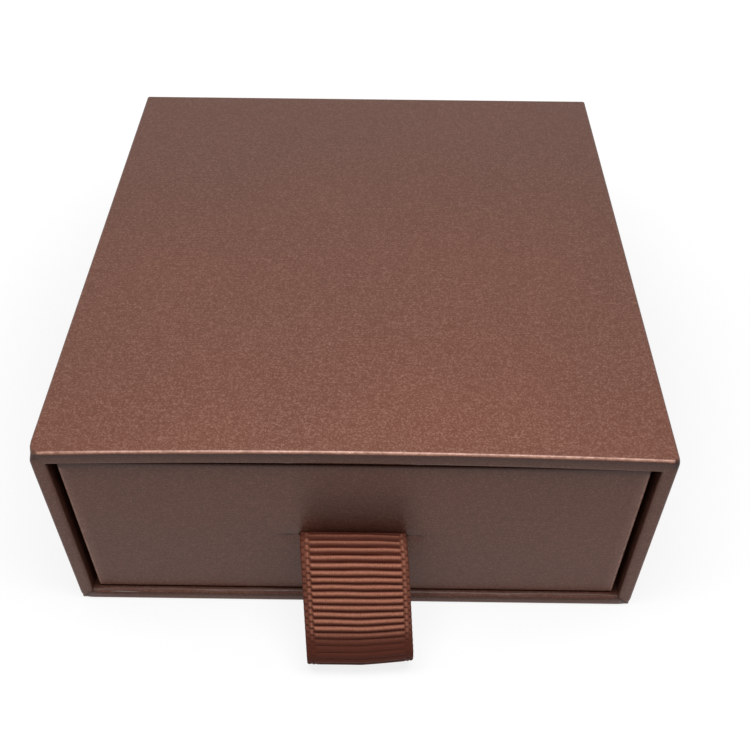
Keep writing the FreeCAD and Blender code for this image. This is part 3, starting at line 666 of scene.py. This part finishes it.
# Drawer cover: one sheet of the covering paper under the tray's base, up its four walls, over the
# rim and down inside. The slit for the ribbon is cut through its front and its edges are pressed in.
drawer_low, drawer_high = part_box("drawer_wrap")
drawer_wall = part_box("drawer_front_board")[1].y + paper - drawer_low.y
rim_turn = drawer_high.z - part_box("drawer_lining")[1].z
slit_low, slit_high = 16.685 * mm, 17.935 * mm
slit_middle = (slit_low + slit_high) / 2
slit_end = 9.3 * mm
tray_round = 0.36 * mm


def tray_edge(one, two):
    """Whether an edge of the tray is rounded: on the rim, on the foot or upright."""
    level = meet(one.z, two.z)
    on_rim = level and (meet(one.x, two.x) or meet(one.y, two.y)) and meet(one.z, drawer_high.z)
    on_foot = level and meet(one.z, drawer_low.z)
    upright = abs(one.z - two.z) > 20 * mm
    return on_rim or on_foot or upright


drawer_cover = start_block("drawer_cover", drawer_low, drawer_high)
choose_faces(drawer_cover, lambda middle, normal: normal.z > 0.9)
bpy.ops.mesh.inset(thickness=drawer_wall)
bpy.ops.mesh.extrude_region_move(TRANSFORM_OT_translate={"value": (0, 0, -rim_turn)})
bpy.ops.mesh.delete(type="FACE")
choose_edges(drawer_cover, tray_edge)
bpy.ops.mesh.bevel(offset=tray_round, offset_type="OFFSET", segments=4, profile=0.5, affect="EDGES")
slit_columns = [-6.5, -2, 2, 6.5, -13.5, -12.5, -11.5, -10.6, -9.9, -9.3, -8.7, -8.5, -8.35,
                7.9, 8.05, 8.25, 8.7, 9.3, 9.9, 10.6, 11.5]
wide_columns = steps(-36 * mm, -18 * mm, 4) + steps(18 * mm, 36 * mm, 4) + [-4 * mm, 0, 4 * mm]
cut_across(0, [x * mm for x in slit_columns] + wide_columns)
cut_across(1, steps(-40 * mm, 40 * mm, 9) + [drawer_low.y + 0.5 * mm, drawer_high.y - 0.5 * mm])
cut_across(0, [side * (drawer_high.x - x * mm) for side in (-1, 1) for x in (0.5, 1.8)])
cut_across(2, [drawer_low.z + 0.5 * mm] + [drawer_high.z - z * mm for z in (0.5, 0.7, 0.95, 1.3, 1.8)])
slit_rows = [-4.0, -2.6, -1.8, -1.2, -0.8, -0.35, -0.14, 0, 0.14, 0.35, 0.8, 1.2, 1.8, 2.6, 4.0,
             5.5, 7.0, 9.0, 12.0, 15.0]
cut_across(2, [slit_middle + z * mm for z in slit_rows] + [slit_low, slit_high, 8 * mm])
choose_faces(drawer_cover, lambda middle, normal: normal.y < -0.9 and middle.y < -46 * mm
             and abs(middle.x) < slit_end and slit_low < middle.z < slit_high)
bpy.ops.mesh.delete(type="FACE")
bpy.ops.object.mode_set(mode="OBJECT")
points = points_of(drawer_cover)
on_front = points[:, 1] < drawer_low.y + 0.01 * mm
at_front = points[:, 1] < drawer_low.y + 0.3 * mm
beside, below_rim = drawer_high.x - np.abs(points[:, 0]), drawer_high.z - points[:, 2]
above_slit = points[:, 2] - slit_middle

# Where it is paler: wear on the rim, and a painted highlight on the front's upright edges
rim_rub = paler_edges(drawer_cover, 0.42 * mm, (0, drawer_high.x, 2, drawer_high.z),
                 (1, drawer_high.y, 2, drawer_high.z), (0, drawer_high.x, 1, drawer_high.y))
upright_highlight = at_front * ramp(beside, (0.0, 0.1, 0.36, 0.5, 1.8), (0.4, 0.9, 0.6, 0.16, 0))
upright_highlight *= np.clip((below_rim - 0.5 * mm) / (0.8 * mm), 0, 1)
mark_points(drawer_cover, "wear_and_highlight", np.maximum(0.5 * rim_rub, upright_highlight))

# Where it is dark: the pressed line of the slit, painted shade on the paper above the ribbon, and a
# painted shadow under the roof's edge, which follows the roof's hang
past_left, past_right = -points[:, 0] - slit_end, (points[:, 0] - slit_end) * 1.9
past_slit = np.maximum(np.where(points[:, 0] < 0, past_left, past_right), 0)
press_line = on_front * np.exp(-(above_slit / (0.26 * mm)) ** 2)
press_line *= np.clip(1.8 - past_slit / (1.6 * mm), 0, 0.9)
above_ribbon_shade = on_front * ramp(above_slit, (0, 0.6, 7, 15), (0, 1, 0.75, 0))
above_ribbon_shade *= np.clip((9.8 * mm - np.abs(points[:, 0] - 0.6 * mm)) / (4 * mm), 0, 1)
under_lip = below_rim - 0.75 * mm * (points[:, 0] / half_width) ** 2
rim_shade = at_front * ramp(under_lip, (-0.1, 0.2, 0.45, 1.1), (0.66, 0.6, 0.32, 0))
mark_points(drawer_cover, "joint_and_shade", np.maximum.reduce([press_line, 0.68 * above_ribbon_shade, rim_shade]))

# Its shape: the paper is pressed in round the slit, and the slit's lips close beside the ribbon
press_depth = 0.15 * mm
pressed = np.exp(-(above_slit / (1.1 * mm)) ** 2) * np.clip(1 - past_slit / (3.2 * mm), 0, 1)
points[:, 1] += on_front * pressed * press_depth
open_share = ramp(points[:, 0], (-9.3, -8.7, -8.5, -8.35, 7.9, 8.05, 8.25, 9.3),
                  (0.05, 0.09, 0.14, 1, 1, 0.14, 0.09, 0.05))
lips = on_front & (np.abs(above_slit) < 0.7 * mm) & (np.abs(points[:, 0]) < slit_end + 0.01 * mm)
points[lips, 2] = slit_middle + (above_slit * open_share)[lips]
set_points(drawer_cover, points)
give_thickness(drawer_cover, paper)
dress(drawer_cover, cover_paper, "covering_paper", "drawer", "drawer_wrap")

# Drawer inside: grey boards, kraft tape at the four upright corners, the lining sheet, and the patch
# of lining paper glued over the ribbon's tails. All are the CAD solids.
finish_nodes(grey_board, *[f"drawer_{name}_board" for name in ("base", "front", "back", "left", "right")])
finish_nodes(kraft_tape, "drawer_front_left_tape", "drawer_front_right_tape",
             "drawer_back_left_tape", "drawer_back_right_tape")
finish_nodes(lining_paper, "drawer_lining", "ribbon_patch")

# Ribbon: a strip of 5/8 inch grosgrain, woven with stout weft ribs and beaded selvages. Both ends
# pass the slit and are glued inside the drawer front under the patch, and the loop falls to a soft
# fold near the table, a little to the right.
rib_pitch, ribbon_thick, ribbon_core = 1.09 * mm, 0.56 * mm, 0.10 * mm
layer_middle = 0.30 * mm  # each layer's middle line, above or below the slit's middle
cad_half_thick = 0.225 * mm
ribbon_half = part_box("ribbon_loop")[1].x
loop_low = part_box("ribbon_loop")[0]
tail_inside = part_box("ribbon_upper_tail")[1].y - cad_half_thick
tail_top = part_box("ribbon_upper_tail")[1].z
tail_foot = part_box("ribbon_lower_tail")[0].z
bend_y = -47.35 * mm
fold = 3.1 * mm
fold_y, fold_z = loop_low.y + cad_half_thick + fold, loop_low.z + cad_half_thick + fold


def arc(centre_y, centre_z, radius, start, end, count):
    """Points of an arc in the side view, from one angle to another in degrees."""
    angles = np.radians(np.linspace(start, end, count))
    return [(centre_y + radius * math.cos(a), centre_z + radius * math.sin(a)) for a in angles]


def tangent(one_y, one_z, turn_one, two_y, two_z, turn_two):
    """The angle at which a straight run leaves one arc for the next; a turn is a signed radius."""
    apart = math.hypot(two_y - one_y, two_z - one_z)
    heading = math.atan2(two_z - one_z, two_y - one_y)
    return math.degrees(heading + math.acos((turn_one - turn_two) / apart))


def side_path():
    """The strip's middle line in the side view: upper tail, loop, fold, lower layer, lower tail."""
    up, low = slit_middle + layer_middle, slit_middle - layer_middle
    tail_turn, upper_turn, lower_turn, short = 0.5 * mm, 6 * mm, 3 * mm, 0.02 * mm
    turn_y = tail_inside - tail_turn
    leave = tangent(bend_y, up - upper_turn, -upper_turn, fold_y, fold_z, -fold) + 180
    back = tangent(fold_y, fold_z, -fold, bend_y, low - lower_turn, lower_turn)
    path = [(tail_inside, tail_top - short)]
    path += arc(turn_y, up + tail_turn, tail_turn, 0, -90, 8)
    path += arc(bend_y, up - upper_turn, upper_turn, 90, leave, 24)
    path += arc(fold_y, fold_z, fold, leave, back + 180, 24)
    path += arc(bend_y, low - lower_turn, lower_turn, back, 90, 16)
    path += arc(turn_y, low - tail_turn, tail_turn, 90, 0, 8)
    path += [(tail_inside, tail_foot + short)]
    return np.array(path)


path = side_path()
lengths = np.concatenate([[0], np.cumsum(np.hypot(*np.diff(path, axis=0).T))])
strip_length = lengths[-1]
across_count, along_count = 60, int(round(strip_length / rib_pitch * 10))
bpy.ops.object.select_all(action="DESELECT")
bpy.ops.mesh.primitive_grid_add(x_subdivisions=across_count, y_subdivisions=along_count, size=1,
                                location=(0, 0, 0))
ribbon = bpy.context.object
ribbon.name = ribbon.data.name = "ribbon_strip"
flat = points_of(ribbon)
flat[:, 0] *= 2 * ribbon_half
flat[:, 1] = (flat[:, 1] + 0.5) * strip_length
set_points(ribbon, flat)
give_thickness(ribbon, ribbon_core, offset=0)

# The weave's relief on the flat strip: ribs in the body and two rows of beads in each selvage
strip = points_of(ribbon)
u, s, face = strip[:, 0].copy(), strip[:, 1].copy(), np.sign(strip[:, 2])
phase = math.pi * s / rib_pitch
uneven = 0.10 * np.sin(u / (3.1 * mm) + s / (2.3 * mm)) + 0.06 * np.sin(u / (1.3 * mm) - s / (0.9 * mm))
rib = np.abs(np.sin(phase + uneven)) ** 0.6
bead_width = 0.30 * mm
inner_row = ribbon_half - np.where(u < 0, 1.12 * mm, 0.86 * mm)
outer_row = ribbon_half - np.where(u < 0, 0.42 * mm, 0.30 * mm)
inner_beads = np.exp(-((np.abs(u) - inner_row) / bead_width) ** 2) * np.abs(np.cos(phase)) ** 0.7
outer_beads = np.exp(-((np.abs(u) - outer_row) / bead_width) ** 2) * np.abs(np.sin(phase)) ** 0.7
body_share = np.clip((inner_row - 0.32 * mm - np.abs(u)) / (0.2 * mm), 0, 1)
rib_height = np.clip(rib * body_share + np.maximum(inner_beads, outer_beads) * (1 - body_share), 0, 1)

# The strip laid along its path. The ribs stand higher on the loop's outer face and are pressed at
# the fold, and the selvage is notched between its beads.
run, loop_reach = 0.05 * mm, 12.7 * mm
loose_relief, pressed_share, selvage_notch = 0.16 * mm, 0.5, 0.12 * mm
shift_at_slit, shift_at_fold = -0.22 * mm, 1.06 * mm
middle_y = np.interp(s, lengths, path[:, 0])
middle_z = np.interp(s, lengths, path[:, 1])
dy = np.interp(s + run, lengths, path[:, 0]) - np.interp(s - run, lengths, path[:, 0])
dz = np.interp(s + run, lengths, path[:, 1]) - np.interp(s - run, lengths, path[:, 1])
length = np.hypot(dy, dz)
ny, nz = -dz / length, dy / length
out = np.clip((bend_y - middle_y) / loop_reach, 0, 1)
loose = np.clip((bend_y - middle_y) / (1.5 * mm), 0, 1) * (face > 0)
in_fold = np.clip((fold_z + 4.6 * mm - middle_z) / (2.0 * mm), 0, 1) * (out > 0.3)
relief = ((ribbon_thick - ribbon_core) / 2 + loose * loose_relief) * (1 - pressed_share * in_fold)
offset = face * (ribbon_core / 2 + rib_height * relief)
rim = np.clip((np.abs(u) - (ribbon_half - 0.45 * mm)) / (0.45 * mm), 0, 1)
u -= np.sign(u) * rim * (1 - outer_beads) * selvage_notch
x = u + shift_at_slit + (shift_at_fold - shift_at_slit) * out
y = middle_y - ny * offset
z = middle_z - nz * offset

# Its lifted right corner at the fold, and its arch where it comes out of the slit
corner_lift, arch_height = 0.9 * mm, 0.50 * mm
lifted = out ** 2 * np.clip(u / ribbon_half, 0, 1) ** 1.2 * corner_lift
y += lifted * 0.7
z += lifted * 0.7
beyond_slit = -46.4 * mm - middle_y
emerged = np.clip(beyond_slit / (0.6 * mm), 0, 1) * np.exp(-np.maximum(beyond_slit, 0) / (3.5 * mm))
z += emerged * arch_height * (1 - (u / ribbon_half) ** 2)
set_points(ribbon, np.column_stack([x, y, z]))

# How bright each point of the weave is painted: lit on the upper side of each rib, with painted
# shade in the hollows, in the pressed fold and where the strip comes out from under the roof's edge
turned = (np.mod(phase + uneven, math.pi) / math.pi) ** 0.56
outer_dark = np.clip((np.abs(u) - (inner_row + outer_row) / 2) / (0.15 * mm), 0, 1)
body_crest = np.sin(math.pi * turned) ** 0.85
selvage_crest = (0.66 + 0.33 * rib_height) * (1 - 0.16 * outer_dark)
crest = np.where(body_share > 0.5, body_crest, selvage_crest)
# Painted shade in the pressed fold
crest = crest * (1 - in_fold) + in_fold * (0.50 + 0.06 * rib_height)
# Painted shadow where the strip comes out from under the roof's edge
crest *= 1 - 0.12 * np.clip((middle_y + 47.9 * mm) / (0.7 * mm), 0, 1)
mark_points(ribbon, "crest", crest)
mark_points(ribbon, "across", u / mm)
bpy.ops.object.mode_set(mode="EDIT")
bpy.ops.mesh.select_all(action="SELECT")
bpy.ops.mesh.normals_make_consistent(inside=False)
bpy.ops.object.mode_set(mode="OBJECT")
# The hollow colour is painted shade between the ribs, and the thread colour their lit side
hollow, thread_colour = (0.085, 0.020, 0.012, 1), (0.45, 0.180, 0.114, 1)
warp_pitch = 0.27  # mm, as "across" is
grosgrain, tree, shader = start_look("grosgrain", Roughness=0.6, Specular_IOR_Level=0.1)
lit = reckon(tree, "POWER", marked(tree, "crest"), 5.0)
fine = noise(tree, add_node(tree, "ShaderNodeTexCoord").outputs["Object"], 3200, 1)
wander = reckon(tree, "MULTIPLY", fine, 3.0)
warp_turns = reckon(tree, "MULTIPLY_ADD", marked(tree, "across"), 2 * math.pi / warp_pitch, wander)
warp = reckon(tree, "SINE", warp_turns)
weave = reckon(tree, "MULTIPLY_ADD", warp, 0.16, reckon(tree, "ADD", fine, 0.5))
thread = add_node(tree, "ShaderNodeClamp", {0: reckon(tree, "MULTIPLY", lit, weave)}).outputs[0]
tree.links.new(blend_colour(tree, thread, hollow, thread_colour), shader.inputs["Base Color"])
add_bump(tree, shader, 0.4, 0.06 * mm, weave)
dress(ribbon, grosgrain, "ribbon", None, "ribbon_loop", "ribbon_upper_tail", "ribbon_lower_tail", smooth=60)
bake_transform(ribbon)
